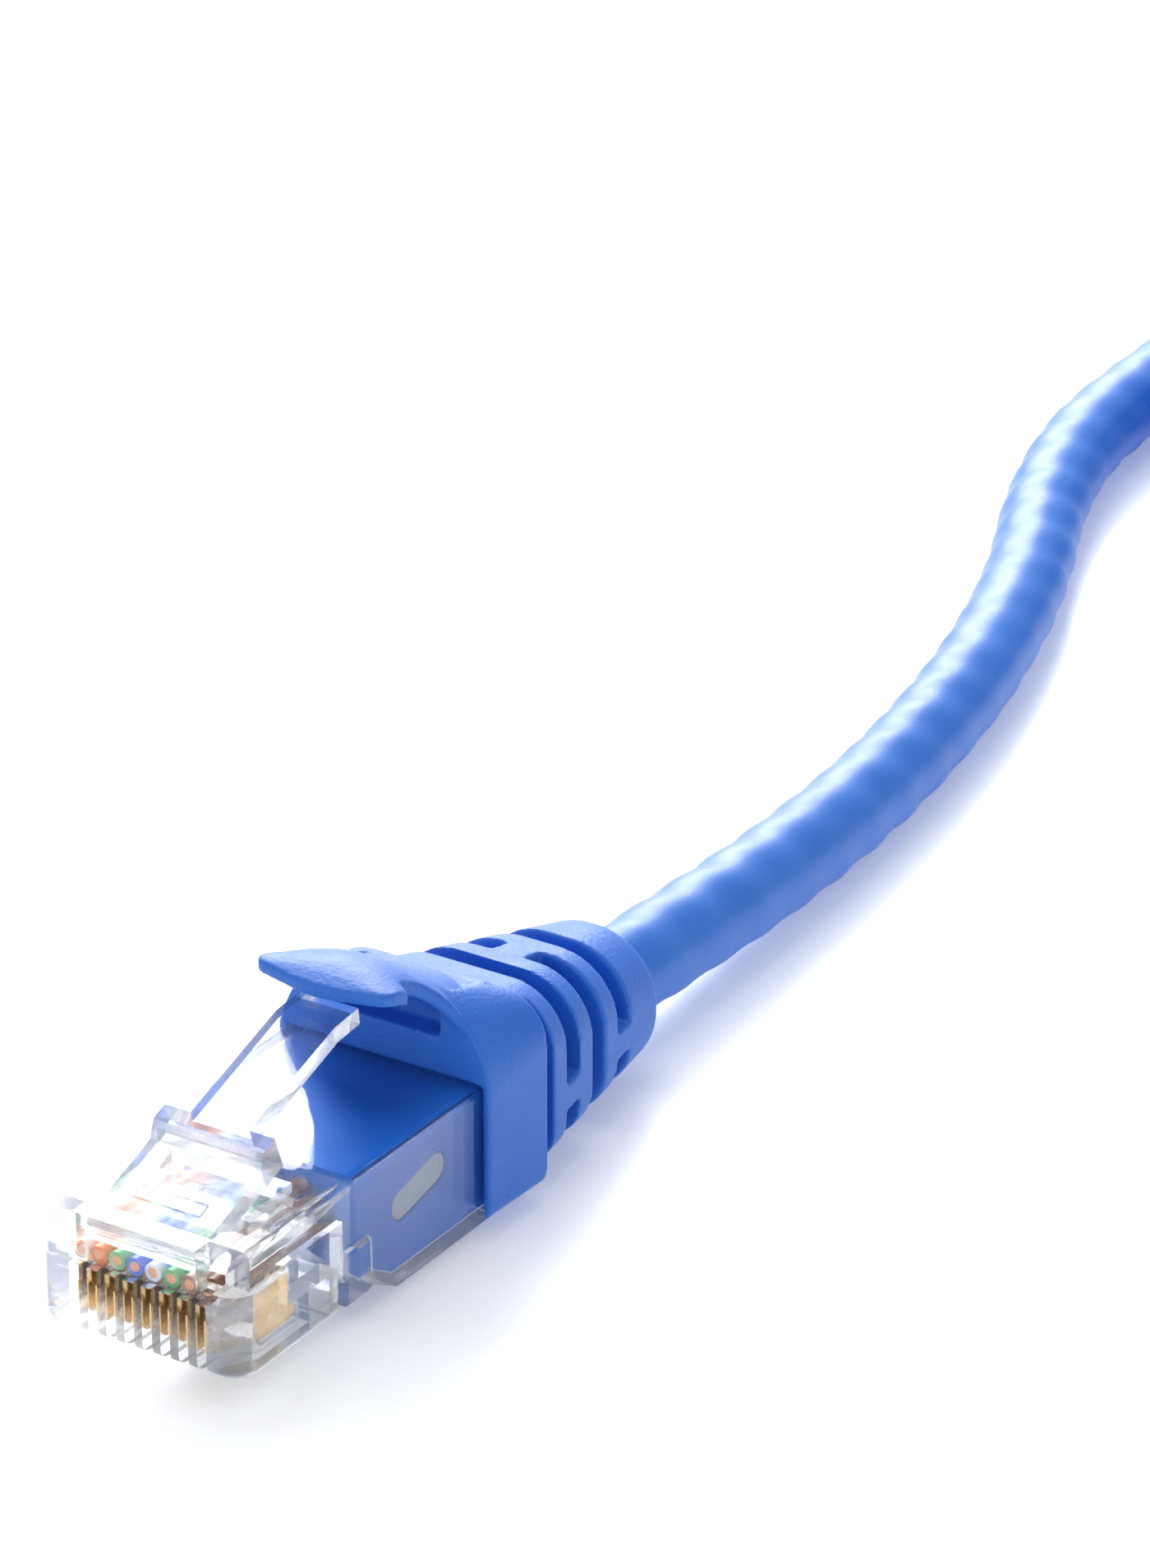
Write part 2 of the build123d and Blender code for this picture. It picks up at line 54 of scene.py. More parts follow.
# Height of the table in the plug's own frame, in millimetres
TABLE = -2.0
# Vertices of a CAD mesh nearer than this are one, in millimetres
WELD = 0.002


# ---------------------------------------------------------------- mesh helpers
def link(piece):
    """Put a new object in the scene."""
    bpy.context.scene.collection.objects.link(piece)
    return piece


def new_piece(name, mesh):
    """An object of that name from a finished bmesh, which is freed."""
    data = bpy.data.meshes.new(name)
    mesh.to_mesh(data)
    mesh.free()
    return link(bpy.data.objects.new(name, data))


def bridge(mesh, ring, after):
    """A band of faces between two closed rings of equal length."""
    for k in range(len(ring)):
        n = (k + 1) % len(ring)
        mesh.faces.new((ring[k], ring[n], after[n], after[k]))


def ease(x, start, end):
    """0 before start, 1 after end, smooth between them."""
    t = min(1, max(0, (x - start) / (end - start)))
    return t * t * (3 - 2 * t)


def hump(x, start, top, fall, end):
    """0 outside start and end, 1 between top and fall, smooth between them."""
    return ease(x, start, top) - ease(x, fall, end)


# ---------------------------------------------------------------- camera
AZIMUTH = math.radians(32.72)
ELEVATION = math.radians(25.40)
DISTANCE = 0.300
AIM = Vector((10.77, 0.59, 25.32)) * MM
LENS = 150.9


def make_camera():
    """Long lens at the photograph's angle: in front, to the right and above the near plug."""
    back = Vector(
        (
            math.sin(AZIMUTH) * math.cos(ELEVATION),
            -math.cos(AZIMUTH) * math.cos(ELEVATION),
            math.sin(ELEVATION),
        )
    )
    camera = bpy.data.objects.new("camera", bpy.data.cameras.new("camera"))
    camera.location = AIM + back * DISTANCE
    camera.rotation_mode = "QUATERNION"
    camera.rotation_quaternion = (-back).to_track_quat("-Z", "Y")
    camera.data.lens = LENS
    camera.data.sensor_width = 36
    camera.data.clip_start = 0.01
    bpy.context.scene.camera = link(camera)


# ---------------------------------------------------------------- cord route
CORD_DIAMETER = 5.0
CORD_RADIUS = CORD_DIAMETER / 2

# The free cord from the near boot to the coil, in millimetres: chosen points
LEAD_ROUTE = [
    (0.0, 19.5, 3.75),
    (0.0, 27.0, 3.52),
    (-0.3, 36.0, 2.95),
    (-1.0, 46.0, 2.55),
    (-2.3, 56.0, 2.5),
    (-4.6, 67.0, 2.5),
    (-8.2, 78.5, 2.5),
    (-12.6, 88.0, 2.5),
    (-15.6, 98.0, 2.5),
    (-16.2, 107.5, 2.5),
    (-16.4, 115.8, 2.5),
    (-16.2, 123.5, 2.5),
]

# From the coil's last turn down over the outer one to the far boot
TAIL_ROUTE = [
    (43.2, 117.0, 7.5),
    (43.1, 109.5, 7.9),
    (42.9, 103.5, 7.2),
    (42.4, 95.0, 4.6),
    (42.1, 86.0, 3.4),
    (42.0, 78.0, 3.5),
    (42.0, 70.0, 3.75),
]

COIL_CENTRE = Vector((14.8, 123.5, 0))
POINTS_PER_TURN = 24
TURNED_AT_EXIT = 4.5 * 360
# Three turns on the table, from the outer one inwards, then one and a half on top, outwards again
TURN_RADII = (31.0, 26.0, 21.0, 23.5, 28.5)
TURNS_BELOW = 3
UPPER_HEIGHT = 6.83
# Degrees of winding over which the cord goes from each radius to the next, and climbs
RADIUS_CHANGES = ((300, 360), (660, 720), (995, 1035), (1320, 1380))
CLIMB = (970, 1025)
# The upper turns ride a little higher where the ones below change places
CROSSINGS = ((1000, 1030, 1080, 1095), (1315, 1340, 1440, 1455))
CROSSING_LIFT = 0.67
# Every turn is lifted by the strap that passes under it, at this part of the circle
STRAP_PASS = (20, 70, 110, 160)
TIE_THICKNESS = 0.6
TIE_WIDTH = 9.0
TIE_GAP = 0.1


def coil_point(turned):
    """Centre of the cord after that many degrees of winding, clockwise from above."""
    radius = TURN_RADII[0]
    for before, after, span in zip(TURN_RADII, TURN_RADII[1:], RADIUS_CHANGES):
        radius += (after - before) * ease(turned, *span)
    height = CORD_RADIUS + (UPPER_HEIGHT - CORD_RADIUS) * ease(turned, *CLIMB)
    for crossing in CROSSINGS:
        height += CROSSING_LIFT * hump(turned, *crossing)
    height += (TIE_THICKNESS + TIE_GAP) * hump(turned % 360, *STRAP_PASS)
    # A quadratic spline runs a little inside its points
    radius /= (1 + math.cos(math.pi / POINTS_PER_TURN)) / 2
    heading = math.radians(turned)
    flat = Vector((-math.cos(heading), math.sin(heading), 0)) * radius
    return COIL_CENTRE + flat + Vector((0, 0, height))


def cord_line():
    """Closely spaced points, in metres, on one spline through lead, coil and tail."""
    step = 360 / POINTS_PER_TURN
    turns = [coil_point(step * i) for i in range(1, round(TURNED_AT_EXIT / step) + 1)]
    points = [Vector(p) for p in LEAD_ROUTE] + turns + [Vector(p) for p in TAIL_ROUTE]
    curve = bpy.data.curves.new("cord_line", "CURVE")
    curve.dimensions = "3D"
    spline = curve.splines.new("NURBS")
    spline.points.add(len(points) - 1)
    for control, point in zip(spline.points, points):
        control.co = (*(point * MM), 1)
    spline.order_u = 3
    spline.use_endpoint_u = True
    spline.resolution_u = 12
    line = bpy.data.objects.new("cord_line", curve)
    points = [vert.co.copy() for vert in bpy.data.meshes.new_from_object(line).vertices]
    bpy.data.objects.remove(line)
    return points


# The twisted pairs inside show through the jacket as slanting swells, in millimetres
SWELL_DEPTH = 0.17
SWELL_LENGTH = 4.2
# Swells in one trip round the cord, which sets their slant
SWELLS_AROUND = 2.0
# The swells grow and shrink slowly, over this length
SLOW_LENGTH = 7.3 * SWELL_LENGTH
CORD_SIDES = 24


def jacket_radius(travelled, around):
    """Radius in millimetres at a length along the cord and an angle round it."""
    wave = math.cos(2 * math.pi * travelled / SWELL_LENGTH - SWELLS_AROUND * around)
    slow = math.cos(2 * math.pi * travelled / SLOW_LENGTH + around)
    return CORD_RADIUS - SWELL_DEPTH * (0.5 - 0.5 * wave) * (0.75 + 0.25 * slow)


def make_cord():
    """Jacket of the free cord: a tube along the line, with its ends closed."""
    line = cord_line()
    mesh = bmesh.new()
    rings = []
    travelled = 0.0
    side = Vector((1, 0, 0))
    for i, point in enumerate(line):
        ahead = line[min(i + 1, len(line) - 1)] - line[max(i - 1, 0)]
        ahead.normalize()
        # The side turns with the line and never twists round it
        side = (side - ahead * side.dot(ahead)).normalized()
        up = ahead.cross(side)
        if i:
            travelled += (point - line[i - 1]).length / MM
        ring = []
        for k in range(CORD_SIDES):
            around = 2 * math.pi * k / CORD_SIDES
            out = side * math.cos(around) + up * math.sin(around)
            ring.append(mesh.verts.new(point + out * jacket_radius(travelled, around) * MM))
        rings.append(ring)
    for ring, after in zip(rings, rings[1:]):
        bridge(mesh, ring, after)
    mesh.faces.new(rings[0][::-1])
    mesh.faces.new(rings[-1])
    bmesh.ops.recalc_face_normals(mesh, faces=mesh.faces)
    piece = new_piece("cord", mesh)
    piece.data.shade_smooth()
    return piece, line


# ---------------------------------------------------------------- material helpers
def node(tree, kind, **settings):
    """A new shader node, with its settings and its sockets' plain values."""
    made = tree.nodes.new(kind)
    for name, value in settings.items():
        if hasattr(made, name):
            setattr(made, name, value)
        else:
            made.inputs[name.replace("_", " ")].default_value = value
    return made


def new_material(name, colour, roughness, **plain):
    """A Principled material, with the plain values of its other sockets by name."""
    made = bpy.data.materials.new(name)
    made.use_nodes = True
    shader = made.node_tree.nodes["Principled BSDF"]
    shader.inputs["Base Color"].default_value = (*colour, 1)
    shader.inputs["Roughness"].default_value = roughness
    for socket, value in plain.items():
        shader.inputs[socket.replace("_", " ")].default_value = value
    return made, made.node_tree, shader


def noise(tree, scale, detail=2.0):
    """Noise over the object's own frame. scale is in features for each metre."""
    place = node(tree, "ShaderNodeTexCoord")
    made = node(tree, "ShaderNodeTexNoise", Scale=scale, Detail=detail)
    tree.links.new(place.outputs["Object"], made.inputs["Vector"])
    return made.outputs["Fac"]


# A Mix node has sockets for each kind of value: these are its factor's and its colours'
MIX_FACTOR, MIX_DARK, MIX_LIGHT, MIX_RESULT = 0, 6, 7, 2


def vary_colour(tree, shader, source, dark, light):
    """Base colour between dark and light, by a value between 0 and 1."""
    mix = node(tree, "ShaderNodeMix", data_type="RGBA")
    mix.inputs[MIX_DARK].default_value = (*dark, 1)
    mix.inputs[MIX_LIGHT].default_value = (*light, 1)
    tree.links.new(source, mix.inputs[MIX_FACTOR])
    tree.links.new(mix.outputs[MIX_RESULT], shader.inputs["Base Color"])


def vary_roughness(tree, shader, source, low, high):
    """Roughness between low and high, by a value between 0 and 1."""
    spread = node(tree, "ShaderNodeMapRange", To_Min=low, To_Max=high)
    tree.links.new(source, spread.inputs["Value"])
    tree.links.new(spread.outputs["Result"], shader.inputs["Roughness"])


def bump(tree, shader, source, depth, strength=1.0):
    """Relief of that depth, in metres, from a value between 0 and 1."""
    made = node(tree, "ShaderNodeBump", Distance=depth, Strength=strength)
    tree.links.new(source, made.inputs["Height"])
    tree.links.new(made.outputs["Normal"], shader.inputs["Normal"])


# ---------------------------------------------------------------- materials
BOOT_DARK = (0.013, 0.125, 0.56)
BOOT_LIGHT = (0.021, 0.165, 0.66)
CORD_DARK = (0.018, 0.145, 0.58)
CORD_LIGHT = (0.032, 0.200, 0.70)
MOULD_DARK = (0.010, 0.130, 0.60)
MOULD_LIGHT = (0.018, 0.190, 0.78)
# Scales in features for each metre, depths in metres
CLOUD_SCALE = 260
GLOSS_SCALE = 900
FINE_GRAIN_DEPTH = 0.00001


def soft_plastic(name, dark, light, roughness, grain, depth, gloss=0.5):
    """Flexible moulded plastic: fine grain, faint cloudy colour and gloss."""
    made, tree, shader = new_material(
        name, light, roughness, Specular_IOR_Level=gloss, Sheen_Weight=0.08, Sheen_Roughness=0.4
    )
    vary_colour(tree, shader, noise(tree, CLOUD_SCALE, 3), dark, light)
    vary_roughness(tree, shader, noise(tree, GLOSS_SCALE), roughness - 0.06, roughness + 0.08)
    bump(tree, shader, noise(tree, grain, 3), depth)
    return made


def clear_plastic(name, colour, roughness=0.03):
    """Clear polycarbonate that also lets the lamps reach what is inside it."""
    made, tree, shader = new_material(
        name, colour, roughness, Transmission_Weight=1.0, IOR=1.36, Alpha=0.8
    )
    bump(tree, shader, noise(tree, 420, 1), 0.00002, 0.5)
    path = node(tree, "ShaderNodeLightPath")
    through = node(tree, "ShaderNodeBsdfTransparent")
    through.inputs["Color"].default_value = (*[c * 0.97 for c in colour], 1)
    mix = node(tree, "ShaderNodeMixShader")
    tree.links.new(path.outputs["Is Shadow Ray"], mix.inputs[0])
    tree.links.new(shader.outputs[0], mix.inputs[1])
    tree.links.new(through.outputs[0], mix.inputs[2])
    tree.links.new(mix.outputs[0], tree.nodes["Material Output"].inputs["Surface"])
    return made


def metal(name, dark, light, roughness):
    """Bare metal with a faintly worn colour and gloss."""
    made, tree, shader = new_material(name, light, roughness, Metallic=1.0)
    vary_colour(tree, shader, noise(tree, 1500, 3), dark, light)
    vary_roughness(tree, shader, noise(tree, 3000), roughness - 0.08, roughness + 0.1)
    return made


def insulation(name, colour, stripe):
    """Thin insulation of a wire, with slanting bands of a second colour."""
    made, tree, shader = new_material(name, colour, 0.3, Specular_IOR_Level=0.5)
    place = node(tree, "ShaderNodeTexCoord")
    wave = node(tree, "ShaderNodeTexWave", bands_direction="DIAGONAL", Scale=160, Distortion=1.5)
    tree.links.new(place.outputs["Object"], wave.inputs["Vector"])
    vary_colour(tree, shader, wave.outputs["Fac"], colour, stripe)
    return made


def shade(piece, made):
    """Give the whole piece one material."""
    piece.data.materials.clear()
    piece.data.materials.append(made)


# Colour and bands of each wire, from contact 1 to 8. A plain wire's bands are nearly its own colour
WIRE_COLOURS = (
    ((0.85, 0.80, 0.72), (0.80, 0.22, 0.03)),
    ((0.78, 0.16, 0.02), (0.88, 0.22, 0.03)),
    ((0.80, 0.84, 0.78), (0.04, 0.42, 0.12)),
    ((0.03, 0.12, 0.62), (0.04, 0.16, 0.72)),
    ((0.76, 0.80, 0.86), (0.04, 0.16, 0.66)),
    ((0.02, 0.32, 0.08), (0.03, 0.40, 0.12)),
    ((0.82, 0.77, 0.72), (0.24, 0.08, 0.03)),
    ((0.16, 0.05, 0.02), (0.22, 0.08, 0.03)),
)
# Rounds on the clear plastic's edges, in millimetres, where faces meet at more than the angle
EDGE_ROUND = 0.12
SHARP_ANGLE = math.radians(40)


def shade_ends():
    """Materials of the CAD nodes that show as they are."""
    clear = clear_plastic("clear_shell", (0.97, 0.985, 1.0))
    bar = clear_plastic("clear_bar", (0.93, 0.96, 0.99), 0.12)
    gold = metal("gold_blade", (0.80, 0.50, 0.20), (0.98, 0.72, 0.36), 0.25)
    copper = metal("bare_copper", (0.60, 0.24, 0.12), (0.85, 0.42, 0.24), 0.35)
    mould = soft_plastic("blue_mould", MOULD_DARK, MOULD_LIGHT, 0.45, 2500, FINE_GRAIN_DEPTH, gloss=0.15)
    jacket = soft_plastic("jacket_end", CORD_DARK, CORD_LIGHT, 0.45, 5000, FINE_GRAIN_DEPTH)
    wires = [insulation(f"wire_{i}", *colours) for i, colours in enumerate(WIRE_COLOURS, start=1)]
    for end in ENDS:
        plain = {
            "housing": clear,
            "latch": clear,
            "load_bar": bar,
            "strain_bar": clear,
            "conductors": copper,
            "jacket_end": jacket,
            "inner_mould": mould,
        }
        for i, wire in enumerate(wires, start=1):
            plain[f"contact_{i}"] = gold
            plain[f"wire_{i}"] = wire
        for name, made in plain.items():
            shade(nodes[f"{end}_{name}"], made)
        for name in ("housing", "latch"):
            soften(nodes[f"{end}_{name}"])


def soften(piece):
    """Small rounds on a CAD node's edges."""
    weld = piece.modifiers.new("weld", "WELD")
    weld.merge_threshold = WELD * MM
    rounds = piece.modifiers.new("rounds", "BEVEL")
    rounds.width = EDGE_ROUND * MM
    rounds.segments = 2
    rounds.limit_method = "ANGLE"
    rounds.angle_limit = SHARP_ANGLE


# ---------------------------------------------------------------- boot with its cover
# All in millimetres, in the plug's own frame: X across the contacts, Y from the mating face to the
# cord, Z from the nose's underside to the latch.
# Skin of the cover along the plug: y, height of the crown and thickness
COVER_STATIONS = (
    (14.3, 12.60, 0.80),
    (15.2, 12.85, 0.95),
    (16.4, 12.90, 1.05),
    (18.0, 12.55, 1.15),
    (20.0, 11.50, 1.35),
    (22.0, 10.35, 1.80),
    (24.0, 9.40, 2.20),
)
COVER_FRONT = COVER_STATIONS[0][0]
COVER_BACK = COVER_STATIONS[-1][0]
# Half-widths of the foremost row, the front edge, the head, the neck and the collar
FIRST_HALF_WIDTH = 0.05
FRONT_HALF_WIDTH = 3.0
HEAD_HALF_WIDTH = 3.85
NECK_HALF_WIDTH = 3.1
COLLAR_HALF_WIDTH = 6.0
# Lengths of the front edge's round and of the round to the head's full width
FRONT_ROUND = 0.45
HEAD_ROUND = 0.85
# The head's wings end here, and the flare into the collar starts here and is this long
WINGS = (16.5, 17.0)
FLARE_START = 17.9
FLARE_LENGTH = 2.4
# Across the cover the top is an arch with a flat crown. The head is nearly flat
ARCH_RADIUS = 5.6
ARCH_FLAT = 0.45
HEAD_ARCH = 0.15
HEAD_TO_ARCH = (14.6, 18.4)
# Behind this the skin's sides sink into the collar
COLLAR_START = 20.0
SIDE_SINK = 0.35
SINK_SPAN = (3.0, 4.2)
# The skin loses this part of its thickness towards its sides
SIDE_THINNING = 0.3
SKIN_ROWS = 90
SKIN_COLUMNS = 40
# Above 1, rows lie closer together at the front
FRONT_CROWDING = 1.35
# Block that fills the neck's root
ROOT_LOW = (-3.3, 21.3, 7.0)
ROOT_HIGH = (3.3, 24.0, 9.5)
# Size of the cells that fuse boot and skin
CELL = 0.13


def smooth_between(before, start, end, after, t):
    """Catmull-Rom curve from start to end, for t between 0 and 1."""
    slope = end - before
    square = 2 * before - 5 * start + 4 * end - after
    cube = 3 * start - before - 3 * end + after
    return 0.5 * (2 * start + slope * t + square * t**2 + cube * t**3)


def crown_and_thickness(y):
    """Height of the crown and thickness of the skin at y, smooth through the stations."""
    last = len(COVER_STATIONS) - 1
    i = max(k for k in range(last) if COVER_STATIONS[k][0] <= y)
    around = [COVER_STATIONS[k] for k in (max(i - 1, 0), i, i + 1, min(i + 2, last))]
    t = (y - around[1][0]) / (around[2][0] - around[1][0])
    return [smooth_between(*(station[k] for station in around), t) for k in (1, 2)]


def skin_half_width(y):
    """Plan of the cover: a wide head with round corners, a neck, and a flare into the collar."""
    behind = y - COVER_FRONT
    if behind < FRONT_ROUND:
        return FRONT_HALF_WIDTH * math.sqrt(max(0, behind / FRONT_ROUND)) + FIRST_HALF_WIDTH
    if behind < FRONT_ROUND + HEAD_ROUND:
        t = (behind - FRONT_ROUND) / HEAD_ROUND
        return FRONT_HALF_WIDTH + (HEAD_HALF_WIDTH - FRONT_HALF_WIDTH) * math.sqrt(1 - (1 - t) ** 2)
    if y < FLARE_START:
        return HEAD_HALF_WIDTH - (HEAD_HALF_WIDTH - NECK_HALF_WIDTH) * ease(y, *WINGS)
    t = min(1, (y - FLARE_START) / FLARE_LENGTH)
    return NECK_HALF_WIDTH + (COLLAR_HALF_WIDTH - NECK_HALF_WIDTH) * (1 - math.sqrt(1 - t * t))


def arch_drop(x):
    """How far the arch is below its crown."""
    out = min(max(0, abs(x) - ARCH_FLAT), ARCH_RADIUS)
    return ARCH_RADIUS - math.sqrt(ARCH_RADIUS**2 - out**2)


def add_skin(mesh, shift):
    """Closed shell of the cover: head, arm and the flare that joins it to the collar."""
    grid = []
    for r in range(SKIN_ROWS + 1):
        y = COVER_FRONT + (COVER_BACK - COVER_FRONT) * (r / SKIN_ROWS) ** FRONT_CROWDING
        crown, thickness = crown_and_thickness(y)
        half = skin_half_width(y)
        arch = HEAD_ARCH + (1 - HEAD_ARCH) * ease(y, *HEAD_TO_ARCH)
        line = []
        for c in range(SKIN_COLUMNS + 1):
            x = half * math.sin(math.pi / 2 * (2 * c / SKIN_COLUMNS - 1))
            top = crown - arch * arch_drop(x)
            if y > COLLAR_START:
                top -= SIDE_SINK * ease(abs(x), *SINK_SPAN)
            low = top - thickness * (1 - SIDE_THINNING * (x / half) ** 2)
            line.append([mesh.verts.new(Vector((x, y, z)) * MM + shift) for z in (top, low)])
        grid.append(line)
    close_skin(mesh, grid)


def close_skin(mesh, grid):
    """Faces over the top, the underside and the four edges of a grid of top and low vertices."""
    for r in range(SKIN_ROWS):
        for c in range(SKIN_COLUMNS):
            a, b, d, e = grid[r][c], grid[r][c + 1], grid[r + 1][c + 1], grid[r + 1][c]
            mesh.faces.new((a[0], b[0], d[0], e[0]))
            mesh.faces.new((e[1], d[1], b[1], a[1]))
        for line in (0, SKIN_COLUMNS):
            a, e = grid[r][line], grid[r + 1][line]
            face = (a[0], e[0], e[1], a[1])
            mesh.faces.new(face if line == 0 else face[::-1])
    for r in (0, SKIN_ROWS):
        for c in range(SKIN_COLUMNS):
            a, b = grid[r][c], grid[r][c + 1]
            face = (a[0], a[1], b[1], b[0])
            mesh.faces.new(face if r == 0 else face[::-1])


def add_block(mesh, low, high, shift):
    """A box between two corners."""
    size = Vector(high) - Vector(low)
    made = bmesh.ops.create_cube(mesh, size=1)
    for vert in made["verts"]:
        at = Vector(low) + Vector((vert.co[i] + 0.5) * size[i] for i in range(3))
        vert.co = at * MM + shift


def make_boot(end):
    """Boot and cover as one moulding: the CAD boot and the cover's skin, fused and smoothed."""
    shift = ENDS[end] - Vector((0, 0, TABLE)) * MM
    mesh = bmesh.new()
    mesh.from_mesh(nodes[f"{end}_boot"].data)
    bmesh.ops.remove_doubles(mesh, verts=mesh.verts, dist=WELD * MM)
    add_skin(mesh, shift)
    add_block(mesh, ROOT_LOW, ROOT_HIGH, shift)
    piece = new_piece(f"{end}_boot_skin", mesh)
    remesh = piece.modifiers.new("remesh", "REMESH")
    remesh.mode = "VOXEL"
    remesh.voxel_size = CELL * MM
    smooth = piece.modifiers.new("smooth", "SMOOTH")
    smooth.factor = 0.5
    smooth.iterations = 5
    evaluated = piece.evaluated_get(bpy.context.evaluated_depsgraph_get())
    piece.data = bpy.data.meshes.new_from_object(evaluated)
    piece.modifiers.clear()
    piece.data.shade_smooth()
    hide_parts(f"{end}_boot", f"{end}_latch_cover")
    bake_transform(piece)
    return piece


# ---------------------------------------------------------------- pale ovals on the flanks: a painted reflection
# In millimetres: the centre's y and z are in the plug's own frame, the depths below the flank
OVAL_LENGTH = 4.4
OVAL_WIDTH = 1.5
OVAL_SLOPE = math.atan(0.21)
OVAL_CENTRE = (15.2, 3.0)
OVAL_DEPTHS = (0.06, 0.28)
OVAL_POINTS = 48


def oval_outline():
    """Y and Z of a slanting oval: two half circles with straight sides between them."""
    radius = OVAL_WIDTH / 2
    straight = OVAL_LENGTH / 2 - radius
    for k in range(OVAL_POINTS):
        turn = 2 * math.pi * (k + 0.5) / OVAL_POINTS
        length = radius * math.cos(turn) + math.copysign(straight, math.cos(turn))
        width = radius * math.sin(turn)
        y = length * math.cos(OVAL_SLOPE) - width * math.sin(OVAL_SLOPE)
        z = length * math.sin(OVAL_SLOPE) + width * math.cos(OVAL_SLOPE)
        yield OVAL_CENTRE[0] + y, OVAL_CENTRE[1] + z - TABLE


def make_ovals(end, made):
    """Where the fill stops short of the shell: a pale oval in the hollow on each flank. Its pale grey is
    a painted reflection of the light in that gap.
    """
    place = ENDS[end]
    half = max(abs(v.co.x - place.x) for v in nodes[f"{end}_inner_mould"].data.vertices) / MM
    mesh = bmesh.new()
    for side in (-1, 1):
        front, rear = (
            [
                mesh.verts.new(Vector((side * (half - depth), y, z)) * MM + place)
                for y, z in oval_outline()
            ]
            for depth in OVAL_DEPTHS
        )
        bridge(mesh, front, rear)
        mesh.faces.new(front)
        mesh.faces.new(rear[::-1])
    bmesh.ops.recalc_face_normals(mesh, faces=mesh.faces)
    piece = new_piece(f"{end}_flank_painted_reflections", mesh)
    shade(piece, made)
    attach(piece, "cable")
    return piece


# ---------------------------------------------------------------- strap
TIE_POINTS = 72


def strap_ring(mesh, x, out):
    """Closed ring in the plane at x, that far outside the cord's centres where the strap lies."""
    under = CORD_RADIUS + TIE_THICKNESS + TIE_GAP
    over = UPPER_HEIGHT + TIE_THICKNESS + TIE_GAP
    cords = [(r, under) for r in TURN_RADII[:TURNS_BELOW]]
    cords += [(r, over) for r in TURN_RADII[TURNS_BELOW:]]
    ring = []
    for k in range(TIE_POINTS):
        turn = 2 * math.pi * k / TIE_POINTS
        way = Vector((math.cos(turn), math.sin(turn)))
        far = max(cords, key=lambda cord: cord[0] * way.x + cord[1] * way.y)
        y = COIL_CENTRE.y + far[0] + out * way.x
        z = max(far[1] + out * way.y, 0)
        ring.append(mesh.verts.new(Vector((x, y, z)) * MM))
    return ring


def make_tie():
    """Strap wound tightly round the coil's far side."""
    mesh = bmesh.new()
    inner_a, outer_a, inner_b, outer_b = (
        strap_ring(mesh, COIL_CENTRE.x + edge * TIE_WIDTH / 2, out)
        for edge in (-1, 1)
        for out in (CORD_RADIUS + TIE_GAP / 2, CORD_RADIUS + TIE_THICKNESS)
    )
    bridge(mesh, outer_a, outer_b)
    bridge(mesh, inner_b, inner_a)
    bridge(mesh, inner_a, outer_a)
    bridge(mesh, outer_b, inner_b)
    bmesh.ops.recalc_face_normals(mesh, faces=mesh.faces)
    piece = new_piece("coil_strap", mesh)
    piece.data.shade_smooth()
    piece.data.set_sharp_from_angle(angle=SHARP_ANGLE)
    made, tree, shader = new_material("strap", (0.02, 0.02, 0.022), 0.85, Sheen_Weight=0.1)
    vary_colour(tree, shader, noise(tree, 4000, 4), (0.008, 0.008, 0.009), (0.04, 0.04, 0.045))
    bump(tree, shader, noise(tree, 5000, 3), 0.00015)
    shade(piece, made)
    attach(piece, "cable")
    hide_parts("coil_tie")
    return piece


# ---------------------------------------------------------------- stage
FLOOR_HALF = 3.0
FLOOR_GAP = 0.05


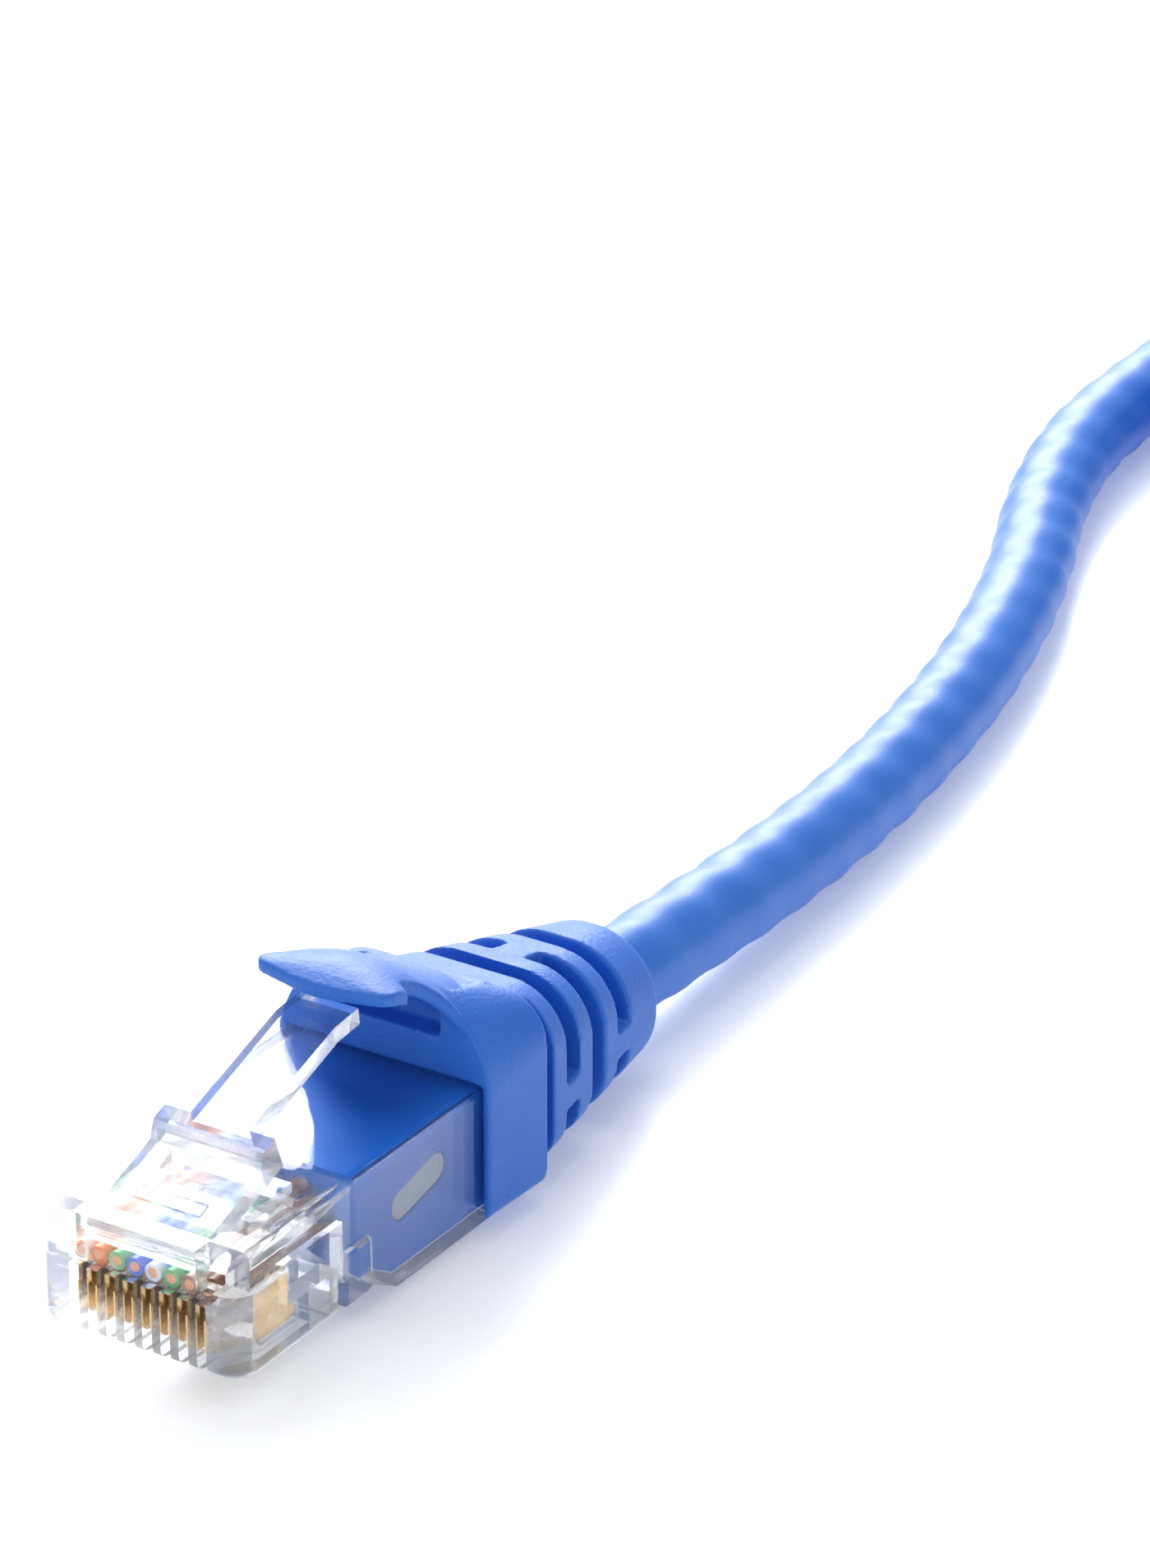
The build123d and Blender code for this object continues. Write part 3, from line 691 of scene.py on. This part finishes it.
def make_floor():
    """Plain white floor, a hair below the object."""
    corners = [(x * FLOOR_HALF, y * FLOOR_HALF, 0) for x, y in ((-1, -1), (1, -1), (1, 1), (-1, 1))]
    data = bpy.data.meshes.new("floor")
    data.from_pydata(corners, [], [(0, 1, 2, 3)])
    floor = link(bpy.data.objects.new("floor", data))
    floor.location.z = -FLOOR_GAP * MM
    made, _, shader = new_material(
        "floor", (0.93, 0.935, 0.94), 0.28, Specular_IOR_Level=0.35, Emission_Strength=0.25
    )
    shader.inputs["Emission Color"].default_value = (0.95, 0.97, 1.0, 1)
    shade(floor, made)


def make_lamp(name, at, size, power):
    """Square soft lamp that points at the origin, beside the near plug."""
    lamp = link(bpy.data.objects.new(name, bpy.data.lights.new(name, "AREA")))
    lamp.data.size = size
    lamp.data.energy = power
    lamp.location = at
    lamp.rotation_mode = "QUATERNION"
    lamp.rotation_quaternion = (-Vector(at)).to_track_quat("-Z", "Y")


def light_scene():
    """Pale sky and three soft lamps, the strongest low behind on the left."""
    scene = bpy.context.scene
    scene.view_settings.view_transform = "Standard"
    scene.world = bpy.data.worlds.new("studio")
    scene.world.use_nodes = True
    sky = scene.world.node_tree.nodes["Background"]
    sky.inputs["Color"].default_value = (0.93, 0.96, 1.0, 1)
    sky.inputs["Strength"].default_value = 0.55
    make_lamp("back", (-0.45, 0.60, 0.42), 0.5, 9.0)
    make_lamp("top", (-0.15, 0.0, 0.9), 0.6, 2.2)
    make_lamp("front", (0.1, -0.9, 0.35), 0.4, 1.0)


make_camera()
cord, cord_path = make_cord()
shade(cord, soft_plastic("cord_jacket", CORD_DARK, CORD_LIGHT, 0.42, 5000, FINE_GRAIN_DEPTH))
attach(cord, "cable")
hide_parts("cord_lead", "cord_coil", "cord_tail")
shade_ends()
boot_material = soft_plastic("blue_boot", BOOT_DARK, BOOT_LIGHT, 0.5, 4200, 0.00004)
boots = {end: make_boot(end) for end in ENDS}
for boot in boots.values():
    shade(boot, boot_material)
# Pale grey of the flank ovals: a painted reflection of the light in the gap between the fill and the
# clear shell
pale = soft_plastic("painted_reflection_oval", (0.30, 0.36, 0.46), (0.52, 0.58, 0.66), 0.6, 3000, 0.00002)
ovals = {end: make_ovals(end, pale) for end in ENDS}
tie = make_tie()
make_floor()
light_scene()
